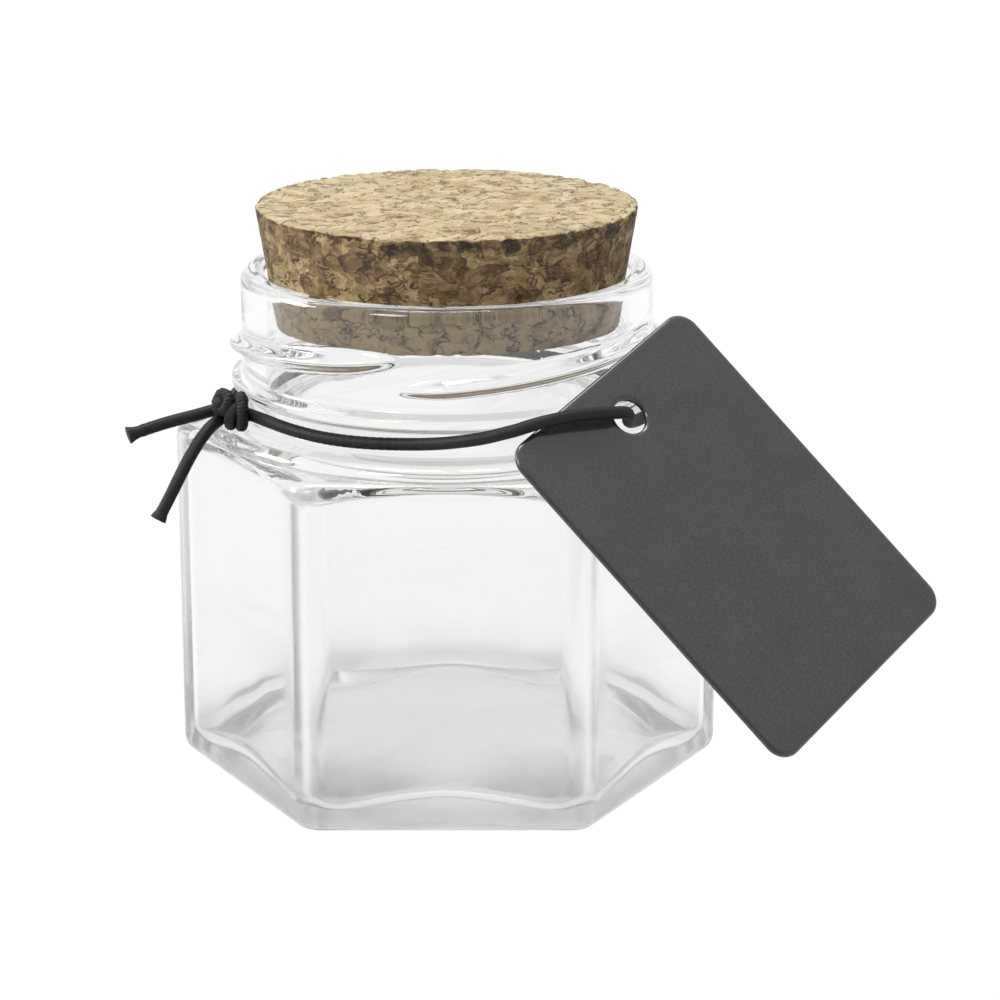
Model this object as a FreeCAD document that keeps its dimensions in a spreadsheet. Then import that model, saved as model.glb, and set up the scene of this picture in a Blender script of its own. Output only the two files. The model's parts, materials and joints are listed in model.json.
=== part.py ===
import FreeCAD, Part
import math
import os
import Sketcher

# Hexagonal glass jar with a cork stopper and a swing tag tied round its neck with a thin cord.
# Millimetres. The origin is the middle of the base, +Z is up, and the front flat faces -Y.

Vector = FreeCAD.Vector
Rotation = FreeCAD.Rotation
Placement = FreeCAD.Placement
UP = Vector(0, 0, 1)

# Driving dimensions
SIZES = {
    # glass body
    "across_flats": 52.9,
    "corner_round": 4.0,
    "base_round": 2.0,
    "shelf_height": 38.6,
    "shelf_round": 1.0,
    "wall": 2.6,
    "floor_thickness": 3.6,
    "inside_corner_round": 6.5,
    "inside_floor_round": 4.5,
    "inside_top_round": 1.0,
    # round shoulder on top of the hexagon
    "shoulder_inset": 0.25,
    "shoulder_step": 1.3,
    "shoulder_rise": 0.5,
    "shoulder_roll": 1.5,
    "shoulder_hollow": 0.6,
    # neck, with a groove and a bead below its plain wall, and the lip
    "neck_inset": 3.95,
    "neck_height": 15.7,
    "neck_wall": 2.65,
    "groove_depth": 0.5,
    "groove_height": 2.6,
    "bead_depth": 1.2,
    "bead_height": 2.2,
    "bead_flank": 0.6,
    "bead_round": 0.4,
    "lip_round": 1.2,
    "lip_inner_round": 0.8,
    # twist-off lugs
    "lug_count": 4,
    "lug_depth": 1.5,
    "lug_root": 0.4,
    "lug_half_height": 1.0,
    "lug_gap": 2.2,
    "lug_rise": 3.2,
    "lug_sweep": 92.0,
    "lug_start_angle": -102.0,
    "lug_taper_angle": 16.0,
    # cork stopper
    "cork_clearance": 0.2,
    "cork_proud": 7.0,
    "cork_depth": 5.5,
    "cork_taper": 9.4,
    "cork_chamfer": 0.35,
    # cord, and the two lobes of its knot
    "cord_diameter": 1.3,
    "cord_clearance": 0.35,
    "knot_reach": 2.1,
    "knot_angle": -156.0,
    "knot_rise": 2.5,
    "knot_half_height": 2.3,
    "knot_half_depth": 1.5,
    "knot_half_width": 1.5,
    "lobe_turn": 4.6,
    "lobe_inset": 0.75,
    "lobe_drop": 0.25,
    "lobe_half_depth": 1.05,
    "lobe_half_width": 1.25,
    # swing tag
    "tag_width": 30.0,
    "tag_length": 42.0,
    "tag_thickness": 0.8,
    "tag_corner_round": 2.0,
    "tag_edge_round": 0.3,
    "tag_hole_diameter": 3.5,
    "tag_hole_inset": 5.2,
    "tag_turn": -58.4,
    "tag_lean": 37.65,
    "tag_roll": 26.4,
    "tag_hole_reach": 4.8,
    "tag_hole_angle": -47.3,
    "tag_hole_rise": 4.22,
}

# Dimensions that follow from the ones above
DERIVED = {
    "half_flats": "sizes.across_flats / 2",
    "hexagon_radius": "half_flats / cos(30 deg)",
    "inside_hexagon_radius": "(half_flats - sizes.wall) / cos(30 deg)",
    "inside_height": "sizes.shelf_height - sizes.wall - sizes.floor_thickness",
    "wall_start": "sizes.floor_thickness + sizes.inside_floor_round",
    "shoulder_radius": "half_flats - sizes.shoulder_inset",
    "shoulder_edge_height": "sizes.shelf_height + sizes.shoulder_step",
    "shoulder_height": "shoulder_edge_height + sizes.shoulder_rise",
    "inside_shoulder_radius": "shoulder_radius - sizes.wall",
    "inside_ceiling": "shoulder_edge_height - sizes.wall",
    "neck_radius": "half_flats - sizes.neck_inset",
    "groove_radius": "neck_radius - sizes.groove_depth",
    "bead_radius": "neck_radius + sizes.bead_depth",
    "bead_bottom": "shoulder_height + sizes.groove_height",
    "bead_low": "bead_bottom + sizes.bead_flank",
    "bead_top": "bead_bottom + sizes.bead_height",
    "bead_high": "bead_top - sizes.bead_flank",
    "bore_radius": "neck_radius - sizes.neck_wall",
    "rim_height": "shoulder_height + sizes.neck_height",
    "bore_top": "rim_height + sizes.wall",
    "lug_start_height": "bead_top + sizes.lug_gap",
    "lug_root_radius": "neck_radius - sizes.lug_root",
    "cork_grip_radius": "bore_radius - sizes.cork_clearance",
    "cork_foot_radius": "cork_grip_radius - sizes.cork_depth * tan(sizes.cork_taper * 1 deg)",
    "cork_top_radius": "cork_grip_radius + sizes.cork_proud * tan(sizes.cork_taper * 1 deg)",
    "cork_foot_height": "rim_height - sizes.cork_depth",
    "cork_top_height": "rim_height + sizes.cork_proud",
    "cork_height": "sizes.cork_depth + sizes.cork_proud",
    "cord_ring_radius": "groove_radius + sizes.cord_clearance + sizes.cord_diameter / 2",
    "knot_radius": "bead_radius + sizes.knot_reach",
    "knot_height": "shoulder_height + sizes.knot_rise",
    "tag_hole_radius": "bead_radius + sizes.tag_hole_reach",
    "tag_hole_height": "shoulder_height + sizes.tag_hole_rise",
    "tag_lower_edge": "sizes.tag_hole_inset - sizes.tag_length",
}


# The cord's route, as distance out from the middle line of its ring in the groove, azimuth in degrees, and
# height above the shoulder. It starts in the knot and runs along the front,
FRONT_ROUTE = [
    (1.9, -151.2, 2.35),
    (1.05, -143.9, 2.1),
    (0.25, -134.5, 1.53),
    (0.0, -123.5, 1.34),
    (0.0, -112.5, 1.38),
    (0.0, -101.0, 1.57),
]
# swings out over the tag's upper edge, lies on its face, and goes through its hole and out behind: places
# along the tag's width and length from the hole, and lift from its face,
TAG_ROUTE = [
    (-15.6, 11.1, -7.4),
    (-14.9, 9.4, -4.6),
    (-14.0, 8.1, -2.6),
    (-13.0, 7.2, -1.15),
    (-12.1, 6.5, -0.2),
    (-11.1, 6.0, 0.45),
    (-9.9, 5.4, 1.0),
    (-8.3, 4.6, 1.35),
    (-6.2, 3.6, 1.4),
    (-4.1, 2.4, 1.35),
    (-2.3, 1.3, 1.25),
    (-0.7, 0.5, 0.85),
    (0.25, 0.05, -0.65),
    (1.0, -0.2, -2.3),
    (2.8, -0.6, -3.9),
    (6.2, -1.0, -6.0),
]
# and passes behind the neck, from the right round the back to the knot
BACK_STEP = 12
BACK_RISE = 1.35
BACK_ROUTE = [(0.0, angle, BACK_RISE) for angle in range(-16, 165, BACK_STEP)] + [
    (0.2, 176.5, 1.4),
    (0.95, 189.5, 1.4),
    (2.5, 202.0, 1.2),
]
# The two loose ends, from the knot outwards
TAIL_UPPER = [
    (3.6, -157.0, 2.25),
    (5.6, -157.1, 1.84),
    (8.1, -157.7, 1.38),
    (10.6, -157.9, 0.88),
    (13.4, -158.0, 0.15),
]
TAIL_LOWER = [
    (3.3, -153.8, 1.8),
    (5.7, -151.6, 0.96),
    (8.35, -148.8, -1.1),
    (10.25, -148.0, -3.7),
    (11.45, -148.0, -5.7),
    (12.6, -148.3, -7.65),
]

# Share of the shorter run that each bend of the cord takes, and the spread allowed between a tube's volume
# and its section times its length
BEND_SHARE = 0.45
VOLUME_SPREAD = 0.01
# Cross sections along a lug, and the shares of its height and depth that are left at its tips
LUG_STATIONS = 9
TIP_HEIGHT = 0.35
TIP_DEPTH = 0.06
# Distances that count as equal, and as close by
SAME = 1e-4
CLOSE = 0.1

doc = FreeCAD.newDocument("jar")


def filled_sheet(name, contents):
    """A sheet with one named cell for each entry."""
    made = doc.addObject("Spreadsheet::Sheet", name)
    for row, (alias, content) in enumerate(contents.items(), start=1):
        made.set(f"A{row}", alias)
        made.set(f"B{row}", content)
        made.setAlias(f"B{row}", alias)
    doc.recompute()
    return made


sizes = filled_sheet("sizes", {alias: str(value) for alias, value in SIZES.items()})
derived = filled_sheet("derived", {alias: "=" + formula for alias, formula in DERIVED.items()})


def sheet_of(alias):
    """The sheet that holds a dimension."""
    return sizes if alias in SIZES else derived


def size(alias):
    """A dimension as a number."""
    return float(sheet_of(alias).get(alias))


def cell(alias):
    """A dimension's cell, as an expression names it."""
    return f"{sheet_of(alias).Name}.{alias}"


def settle(feature):
    """Works a feature out and stops if it fails."""
    doc.recompute()
    if not feature.isValid() or feature.Shape.isNull():
        raise RuntimeError(f"{feature.Name} failed: {feature.State}")
    return feature


def bind(feature, **aliases):
    """Ties properties of a feature to dimensions; two underscores stand for a dot."""
    for name, alias in aliases.items():
        feature.setExpression(name.replace("__", "."), cell(alias))


def body(label):
    made = doc.addObject("PartDesign::Body", label)
    made.Label = label
    return made


def primitive(owner, kind, name, **aliases):
    """A primitive feature of a body, with its properties tied to dimensions."""
    feature = owner.newObject(f"PartDesign::{kind}", name)
    bind(feature, **aliases)
    return settle(feature)


def profile(owner, name, corners):
    """A closed outline in the upright XZ plane. Each corner is a radius and a height; None is the axis."""
    sketch = owner.newObject("Sketcher::SketchObject", name)
    plane = next(item for item in owner.Origin.OriginFeatures if item.Role == "XZ_Plane")
    sketch.AttachmentSupport = [(plane, "")]
    sketch.MapMode = "FlatFace"
    places = [Vector(size(radius) if radius else 0, size(height), 0) for radius, height in corners]
    count = len(corners)
    for i in range(count):
        sketch.addGeometry(Part.LineSegment(places[i], places[(i + 1) % count]), False)
    for i, (radius, height) in enumerate(corners):
        sketch.addConstraint(Sketcher.Constraint("Coincident", i, 2, (i + 1) % count, 1))
        if radius:
            across = sketch.addConstraint(Sketcher.Constraint("DistanceX", -1, 1, i, 1, places[i].x))
            sketch.setExpression(f"Constraints[{across}]", cell(radius))
        else:
            sketch.addConstraint(Sketcher.Constraint("PointOnObject", i, 1, -2))
        along = sketch.addConstraint(Sketcher.Constraint("DistanceY", -1, 1, i, 1, places[i].y))
        sketch.setExpression(f"Constraints[{along}]", cell(height))
    return sketch


def turned(owner, kind, name, sketch):
    """A full turn of an outline about the upright axis: a Revolution adds and a Groove cuts."""
    feature = owner.newObject(f"PartDesign::{kind}", name)
    feature.Profile = sketch
    feature.ReferenceAxis = (sketch, ["V_Axis"])
    feature.Angle = 360.0
    return settle(feature)


def rounded(owner, name, alias, test, kind="Fillet", prop="Radius"):
    """Rounds or bevels every edge of the body that passes a test."""
    base = owner.Tip
    picked = [f"Edge{i}" for i, edge in enumerate(base.Shape.Edges, start=1) if test(edge)]
    if not picked:
        raise RuntimeError(f"{name}: no edge found")
    feature = owner.newObject(f"PartDesign::{kind}", name)
    feature.Base = (base, picked)
    bind(feature, **{prop: alias})
    return settle(feature)


def upright(edge):
    """True for a straight edge along Z."""
    ends = [vertex.Point for vertex in edge.Vertexes]
    return len(ends) == 2 and (ends[1] - ends[0]).cross(UP).Length < SAME


def level_at(*heights):
    """A test for edges that lie level at one of some heights."""

    def check(edge):
        box = edge.BoundBox
        return any(abs(box.ZMin - height) < SAME and abs(box.ZMax - height) < SAME for height in heights)

    return check


def ring_at(radius, height):
    """A test for a level circle about the axis, with its radius and height as aliases."""
    level = level_at(size(height))
    reach = size(radius)

    def check(edge):
        box = edge.BoundBox
        return level(edge) and max(abs(box.XMax - reach), abs(box.YMax - reach)) < CLOSE

    return check


def within(radius, test):
    """A test for edges whose middle lies within a radius of the axis."""

    def check(edge):
        middle = edge.valueAt(0.5 * (edge.FirstParameter + edge.LastParameter))
        return math.hypot(middle.x, middle.y) < radius and test(edge)

    return check


def around(radius, azimuth, height):
    """A point from cylindrical coordinates, with the azimuth in degrees."""
    angle = math.radians(azimuth)
    return Vector(radius * math.cos(angle), radius * math.sin(angle), height)


# Glass blank: a hexagonal prism with soft edges, and the round shoulder and neck turned on top of it
def glass_blank():
    jar = body("jar_blank")
    primitive(jar, "AdditivePrism", "hexagon", Circumradius="hexagon_radius", Height="shelf_height")
    rounded(jar, "corners", "corner_round", upright)
    rounded(jar, "base_edges", "base_round", level_at(0))
    rounded(jar, "shelf_edges", "shelf_round", level_at(size("shelf_height")))
    sketch = profile(jar, "neck_profile", [
        (None, "wall_start"),
        ("shoulder_radius", "wall_start"),
        ("shoulder_radius", "shoulder_edge_height"),
        ("groove_radius", "shoulder_height"),
        ("groove_radius", "bead_bottom"),
        ("bead_radius", "bead_low"),
        ("bead_radius", "bead_high"),
        ("neck_radius", "bead_top"),
        ("neck_radius", "rim_height"),
        (None, "rim_height"),
    ])
    turned(jar, "Revolution", "neck", sketch)
    rounded(jar, "shoulder_edge", "shoulder_roll", ring_at("shoulder_radius", "shoulder_edge_height"))
    rounded(jar, "neck_foot", "shoulder_hollow", ring_at("groove_radius", "shoulder_height"))
    rounded(jar, "bead_lower", "bead_round", ring_at("bead_radius", "bead_low"))
    rounded(jar, "bead_upper", "bead_round", ring_at("bead_radius", "bead_high"))
    rounded(jar, "lip", "lip_round", ring_at("neck_radius", "rim_height"))
    return jar


# The hollow is cut by a smaller hexagon with softer corners, a round shoulder and a straight bore
def glass_hollow(jar):
    primitive(
        jar, "SubtractivePrism", "inside",
        Circumradius="inside_hexagon_radius", Height="inside_height", Placement__Base__z="floor_thickness",
    )
    reach = size("inside_hexagon_radius") + CLOSE
    rounded(jar, "inside_corners", "inside_corner_round", within(reach, upright))
    rounded(jar, "inside_floor", "inside_floor_round", within(reach, level_at(size("floor_thickness"))))
    sketch = profile(jar, "bore_profile", [
        (None, "wall_start"),
        ("inside_shoulder_radius", "wall_start"),
        ("inside_shoulder_radius", "inside_ceiling"),
        ("bore_radius", "inside_ceiling"),
        ("bore_radius", "bore_top"),
        (None, "bore_top"),
    ])
    turned(jar, "Groove", "bore", sketch)
    rounded(jar, "inside_shoulder", "inside_top_round", ring_at("inside_shoulder_radius", "inside_ceiling"))
    rounded(jar, "inside_neck", "inside_top_round", ring_at("bore_radius", "inside_ceiling"))
    rounded(jar, "lip_inside", "lip_inner_round", ring_at("bore_radius", "rim_height"))
    return jar


# One thread lug: a rounded rib that climbs round the neck and fades out at both ends
def lug(index):
    root = size("lug_root_radius")
    sweep = size("lug_sweep")
    start = size("lug_start_angle") + index * 360.0 / size("lug_count")
    wires = []
    for station in range(LUG_STATIONS):
        along = station / (LUG_STATIONS - 1)
        angle = along * sweep
        fade = min(1.0, min(angle, sweep - angle) / size("lug_taper_angle"))
        full = math.sin(0.5 * math.pi * fade)
        half = size("lug_half_height") * (TIP_HEIGHT + (1 - TIP_HEIGHT) * full)
        crest = size("neck_radius") + size("lug_depth") * (TIP_DEPTH + (1 - TIP_DEPTH) * full)
        height = size("lug_start_height") + size("lug_rise") * along
        low = around(root, start + angle, height - half)
        top = around(crest, start + angle, height)
        high = around(root, start + angle, height + half)
        wires.append(Part.Wire([Part.Arc(low, top, high).toShape(), Part.makeLine(high, low)]))
    feature = doc.addObject("Part::Feature", f"lug_{index + 1}")
    feature.Shape = Part.makeLoft(wires, True, False)
    return feature


def joined(label, shapes):
    """Several shapes as one solid."""
    whole = doc.addObject("Part::MultiFuse", label)
    whole.Label = label
    whole.Shapes = shapes
    return settle(whole)


def glass_jar():
    jar = glass_hollow(glass_blank())
    return joined("glass_jar", [jar] + [lug(i) for i in range(int(size("lug_count")))])


# Tapered stopper, which wedges in the mouth and stands proud of the lip
def cork_stopper():
    cork = body("cork_stopper")
    primitive(
        cork, "AdditiveCone", "plug",
        Radius1="cork_foot_radius", Radius2="cork_top_radius", Height="cork_height",
        Placement__Base__z="cork_foot_height",
    )
    ends = level_at(size("cork_foot_height"), size("cork_top_height"))
    rounded(cork, "edges", "cork_chamfer", ends, "Chamfer", "Size")
    return cork


def tag_place():
    """The tag's frame: origin at its hole on the front face, X along its width, Y along its length, Z out."""
    hole = around(size("tag_hole_radius"), size("tag_hole_angle"), size("tag_hole_height"))
    facing = Rotation(UP, size("tag_turn") + 90)
    leaning = Rotation(Vector(1, 0, 0), 90 - size("tag_lean"))
    return Placement(hole, facing.multiply(leaning).multiply(Rotation(UP, size("tag_roll"))))


# Card tag with soft corners, a rolled edge and a punched hole near its upper edge
def swing_tag():
    tag = body("swing_tag")
    card = primitive(
        tag, "AdditiveBox", "card",
        Length="tag_width", Width="tag_length", Height="tag_thickness", Placement__Base__y="tag_lower_edge",
    )
    card.setExpression("Placement.Base.x", "-sizes.tag_width / 2")
    card.setExpression("Placement.Base.z", "-sizes.tag_thickness")
    settle(card)
    rounded(tag, "corners", "tag_corner_round", upright)
    hole = tag.newObject("PartDesign::SubtractiveCylinder", "hole")
    hole.setExpression("Radius", "sizes.tag_hole_diameter / 2")
    hole.setExpression("Height", "2 * sizes.tag_thickness")
    hole.setExpression("Placement.Base.z", "-1.5 * sizes.tag_thickness")
    settle(hole)
    rounded(tag, "edges", "tag_edge_round", level_at(0, -size("tag_thickness")))
    tag.Placement = tag_place()
    return tag


def rounded_runs(points, name):
    """Straight runs and tangent arcs through points: the start, the end and the arc after each run."""
    runs = []
    radii = []
    start = points[0]
    for before, corner, after in zip(points, points[1:], points[2:]):
        back = before - corner
        on = after - corner
        trim = BEND_SHARE * min(back.Length, on.Length)
        back.normalize()
        on.normalize()
        half_turn = 0.5 * (math.pi - back.getAngle(on))
        radius = trim / math.tan(half_turn)
        radii.append(radius)
        middle = back + on
        middle.normalize()
        enter = corner + back * trim
        leave = corner + on * trim
        apex = corner + middle * (radius / math.cos(half_turn) - radius)
        runs.append((start, enter, Part.Arc(enter, apex, leave).toShape()))
        start = leave
    runs.append((start, points[-1], None))
    print(f"{name}: arc radii {' '.join(f'{radius:.1f}' for radius in radii)}")
    return runs


def cord_wires(points, cuts, name):
    """The wires of a cord that is cut at the middle of some of its straight runs."""
    wires = []
    edges = []
    for index, (start, end, arc) in enumerate(rounded_runs(points, name)):
        if index in cuts:
            middle = (start + end) * 0.5
            wires.append(Part.Wire(edges + [Part.makeLine(start, middle)]))
            edges = []
            start = middle
        edges.append(Part.makeLine(start, end))
        if arc:
            edges.append(arc)
    wires.append(Part.Wire(edges))
    return wires


def tube(label, wire):
    """A round cord along a wire, with its volume compared with its section times its length."""
    radius = size("cord_diameter") / 2
    first = wire.OrderedEdges[0]
    begin = first.valueAt(first.FirstParameter)
    section = Part.Wire([Part.makeCircle(radius, begin, first.tangentAt(first.FirstParameter))])
    solid = wire.makePipeShell([section], True, False)
    ratio = solid.Volume / (math.pi * radius * radius * wire.Length)
    print(f"{label}: length {wire.Length:.2f}, volume over section times length {ratio:.4f}")
    if abs(ratio - 1) > VOLUME_SPREAD:
        raise RuntimeError(f"{label}: the tube's volume is wrong")
    feature = doc.addObject("Part::Feature", label)
    feature.Label = label
    feature.Shape = solid
    return feature


def lobe(name, half_depth, half_width, radius, azimuth, height):
    """An upright ellipsoid of the knot, with its depth pointing away from the axis."""
    made = doc.addObject("Part::Ellipsoid", name)
    made.Angle1 = -90
    bind(made, Radius1="knot_half_height", Radius2=half_depth, Radius3=half_width)
    made.Placement = Placement(around(radius, azimuth, height), Rotation(UP, azimuth))
    return made


# Two upright lobes, where the cord is tied on the left of the neck
def cord_knot():
    radius = size("knot_radius")
    azimuth = size("knot_angle")
    height = size("knot_height")
    outer = lobe("outer_lobe", "knot_half_depth", "knot_half_width", radius, azimuth, height)
    inner = lobe(
        "inner_lobe", "lobe_half_depth", "lobe_half_width",
        radius - size("lobe_inset"), azimuth + size("lobe_turn"), height - size("lobe_drop"),
    )
    return joined("cord_knot", [outer, inner])


def on_neck(route):
    """The points of a route that is given from the cord's ring and the shoulder."""
    ring = size("cord_ring_radius")
    foot = size("shoulder_height")
    return [around(ring + out, azimuth, foot + rise) for out, azimuth, rise in route]


# The cord: from the knot along the front, over the tag and through its hole, and behind the neck to the knot
def neck_cord():
    front = on_neck(FRONT_ROUTE)
    across = [tag_place().multVec(Vector(*place)) for place in TAG_ROUTE]
    back = on_neck(BACK_ROUTE)
    cuts = (len(front) - 1, len(front) + len(across))
    wires = cord_wires(front + across + back, cuts, "neck cord")
    labels = ("neck_cord_front", "cord_tag_strand", "neck_cord_back")
    return [tube(label, wire) for label, wire in zip(labels, wires)]


def cord_tails():
    routes = {"cord_tail_upper": TAIL_UPPER, "cord_tail_lower": TAIL_LOWER}
    return [tube(label, cord_wires(on_neck(route), (), label)[0]) for label, route in routes.items()]


parts = [glass_jar(), cork_stopper(), swing_tag(), cord_knot()] + neck_cord() + cord_tails()
doc.recompute()

for item in doc.Objects:
    if any(state in ("Invalid", "Error") for state in item.State):
        raise RuntimeError(f"{item.Name} failed: {item.State}")
for part in parts:
    if part.Shape.isNull() or not part.Shape.isValid() or len(part.Shape.Solids) != 1:
        raise RuntimeError(f"{part.Label}: the shape is not one valid solid")

os.makedirs("parts", exist_ok=True)
for part in parts:
    part.Shape.exportStep(f"parts/{part.Label}.step")
    box = part.Shape.BoundBox
    low = f"{box.XMin:.2f} {box.YMin:.2f} {box.ZMin:.2f}"
    high = f"{box.XMax:.2f} {box.YMax:.2f} {box.ZMax:.2f}"
    print(f"{part.Label}: {part.Shape.Volume:.1f} mm3, from {low} to {high}")
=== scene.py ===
# %% [markdown]
# # A hexagonal glass jar with a cork stopper and a swing tag
#
# The solids of the jar, the stopper, the cord and the tag are already made, with their joints. Here each
# piece gets the surface and the finish of the real one. Every new piece is worked out with numpy as a grid
# of points, because a jar, a plug and a cord are all one outline carried round a ring or along a path.

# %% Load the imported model
import json
import math

import bpy
import numpy as np
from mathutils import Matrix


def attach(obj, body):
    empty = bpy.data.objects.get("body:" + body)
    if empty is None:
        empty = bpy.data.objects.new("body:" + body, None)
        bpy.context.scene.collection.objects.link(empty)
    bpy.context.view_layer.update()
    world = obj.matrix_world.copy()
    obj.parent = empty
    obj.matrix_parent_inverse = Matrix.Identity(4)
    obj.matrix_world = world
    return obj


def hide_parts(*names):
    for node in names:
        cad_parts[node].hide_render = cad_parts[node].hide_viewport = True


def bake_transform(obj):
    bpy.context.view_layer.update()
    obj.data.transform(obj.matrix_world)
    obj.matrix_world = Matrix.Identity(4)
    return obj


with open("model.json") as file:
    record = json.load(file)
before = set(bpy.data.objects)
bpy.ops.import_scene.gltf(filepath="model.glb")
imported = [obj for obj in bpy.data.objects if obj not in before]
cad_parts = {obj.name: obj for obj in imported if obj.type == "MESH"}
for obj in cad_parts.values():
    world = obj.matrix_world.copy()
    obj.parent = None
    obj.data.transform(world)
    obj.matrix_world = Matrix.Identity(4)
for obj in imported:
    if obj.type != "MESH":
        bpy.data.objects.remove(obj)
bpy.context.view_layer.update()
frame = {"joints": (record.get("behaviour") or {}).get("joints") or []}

MM = 0.001
UP = (0, 0, 1)

# %% [markdown]
# ## The camera
#
# A camera could be moved by eye until the picture looks right. This one was worked out from the jar itself:
# the six flats and the round rims give its place, its tilt and its focal length. Blender wants the focal
# length in millimetres of a 36 mm sensor, so the length in pixels is scaled by the picture's width.

# %% Camera
CAMERA_PLACE = (0.00563, -0.339, 0.1275)  # metres
CAMERA_DOWN, CAMERA_TURN = 16.13, -0.025  # degrees
FOCAL_PIXELS, PICTURE_PIXELS, SENSOR_MM = 3166.5, 1000, 36.0

camera = bpy.data.objects.new("camera", bpy.data.cameras.new("camera"))
camera.data.sensor_width = SENSOR_MM
camera.data.lens = SENSOR_MM * FOCAL_PIXELS / PICTURE_PIXELS
camera.location = CAMERA_PLACE
camera.rotation_euler = (math.radians(90 - CAMERA_DOWN), 0, math.radians(CAMERA_TURN))
bpy.context.scene.collection.objects.link(camera)
bpy.context.scene.camera = camera
print(f"lens {camera.data.lens:.1f} mm")

# %% [markdown]
# ## Grids that become meshes
#
# A grid has rows and columns of points. The columns always close into a ring. The rows either close too, as
# on a ring-shaped piece, or end in a single point at each end, a pole. Going round the columns and then
# along the rows has to turn the same way on every piece, so that the faces look outwards. The volume tells:
# it is positive then.

# %% From a grid to a piece
def ring_faces(rows, columns, loop):
    """Four corners for each cell, going round it: two neighbours in a row, then the two beyond them."""
    row = np.arange(rows if loop else rows - 1)[:, None]
    column = np.arange(columns)[None, :]
    beyond, beside = (row + 1) % rows, (column + 1) % columns
    corners = (
        row * columns + column,
        row * columns + beside,
        beyond * columns + beside,
        beyond * columns + column,
    )
    return np.stack(np.broadcast_arrays(*corners), axis=-1).reshape(-1, 4)


def volume_of(points, faces):
    """A sixth of the sum of the triple products of each face's corners, with every quad as two triangles."""
    a, b, c = (points[faces[:, i]] for i in range(3))
    total = np.einsum("ij,ij->", a, np.cross(b, c))
    if faces.shape[1] == 4:
        total += np.einsum("ij,ij->", a, np.cross(c, points[faces[:, 3]]))
    return total / 6


def add_piece(name, grid, poles=None, loop=False):
    """A smooth mesh object from a grid of points in metres, closed by a fan of triangles at each pole."""
    rows, columns = grid.shape[:2]
    points = grid.reshape(-1, 3)
    faces = [ring_faces(rows, columns, loop)]
    if poles is not None:
        first = np.arange(columns)
        beside, last = (first + 1) % columns, (rows - 1) * columns
        low, high = np.full(columns, len(points)), np.full(columns, len(points) + 1)
        faces.append(np.stack([low, beside, first], axis=1))
        faces.append(np.stack([last + first, last + beside, high], axis=1))
        points = np.concatenate([points, poles])
    volume = sum(volume_of(points, part) for part in faces)
    if volume <= 0:
        raise ValueError(f"{name} is inside out")
    mesh = bpy.data.meshes.new(name)
    mesh.from_pydata(points.tolist(), [], [face for part in faces for face in part.tolist()])
    mesh.shade_smooth()
    piece = bpy.data.objects.new(name, mesh)
    bpy.context.scene.collection.objects.link(piece)
    triangles = sum(len(part) * (part.shape[1] - 2) for part in faces)
    print(f"{name}: {rows} rows, {columns} columns, {triangles} triangles, {volume / MM ** 3:.0f} mm3")
    return piece


# %% [markdown]
# ## Where the cord goes
#
# One thin round cord lies in the groove under the neck's bead. It comes out of the knot on the left, runs
# along the front, goes over the tag's upper edge, through its hole, and round the back to the knot again.
# Both ends leave the knot as loose tails. A polyline would look like bent wire, so the route's points are
# the control points of a smooth spline. The points near the tag are given in the tag's own frame, which the
# tag's hinge gives.

# %% The route of the cord
CORD_DIAMETER = 1.3 * MM
RING_RADIUS, SHOULDER_HEIGHT = 23.0, 40.4
TAG_ROLL = math.radians(26.4)

# distance out from the ring in the groove, azimuth in degrees, height above the shoulder, in mm
UPPER_TAIL = [
    (3.6, -157.0, 2.25), (5.6, -157.1, 1.84), (8.1, -157.7, 1.38), (10.6, -157.9, 0.88),
    (13.4, -158.0, 0.15),
]
ALONG_FRONT = [
    (1.9, -151.2, 2.35), (1.05, -143.9, 2.1), (0.25, -134.5, 1.53), (0.0, -123.5, 1.34),
    (0.0, -112.5, 1.38), (0.0, -101.0, 1.57),
]
BEHIND = [(0.0, azimuth, 1.35) for azimuth in range(-16, 165, 12)] + [
    (0.2, 176.5, 1.4), (0.95, 189.5, 1.4), (2.5, 202.0, 1.2),
]
LOWER_TAIL = [
    (3.3, -153.8, 1.8), (5.7, -151.6, 0.96), (8.35, -148.8, -1.1), (10.25, -148.0, -3.7),
    (11.45, -148.0, -5.7), (12.6, -148.3, -7.65),
]
# along the tag's width and length from its hole, and lift from its face, in mm
OVER_TAG = [
    (-15.6, 11.1, -7.4), (-14.9, 9.4, -4.6), (-14.0, 8.1, -2.6), (-13.0, 7.2, -1.15),
    (-12.1, 6.5, -0.2), (-11.1, 6.0, 0.45), (-9.9, 5.4, 1.0), (-8.3, 4.6, 1.35),
    (-6.2, 3.6, 1.4), (-4.1, 2.4, 1.35), (-2.3, 1.3, 1.25), (-0.7, 0.5, 0.85),
    (0.25, 0.05, -0.65), (1.0, -0.2, -2.3), (2.8, -0.6, -3.9), (6.2, -1.0, -6.0),
]

swing = next(joint for joint in frame["joints"] if joint["name"] == "tag_swing")
TAG_HOLE = np.array(swing["pos_m"])
tag_out = np.array(swing["axis"]) / np.linalg.norm(swing["axis"])


def unit(vectors):
    """Vectors divided by their lengths."""
    return vectors / np.linalg.norm(vectors, axis=-1, keepdims=True)


level_way = unit(np.cross(UP, tag_out))
tag_across = level_way * math.cos(TAG_ROLL) + np.cross(tag_out, level_way) * math.sin(TAG_ROLL)
tag_axes = np.array([tag_across, np.cross(tag_out, tag_across), tag_out])


def on_neck(route):
    """Points at a distance from the jar's axis, an azimuth and a height, in metres."""
    out, azimuth, rise = np.array(route, float).T
    reach, angle = RING_RADIUS + out, np.radians(azimuth)
    return np.stack([reach * np.cos(angle), reach * np.sin(angle), SHOULDER_HEIGHT + rise], axis=1) * MM


def on_tag(places):
    """Points of the tag's frame where the tag hangs: the hole plus each place times the tag's axes."""
    return TAG_HOLE + np.array(places, float) * MM @ tag_axes


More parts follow.
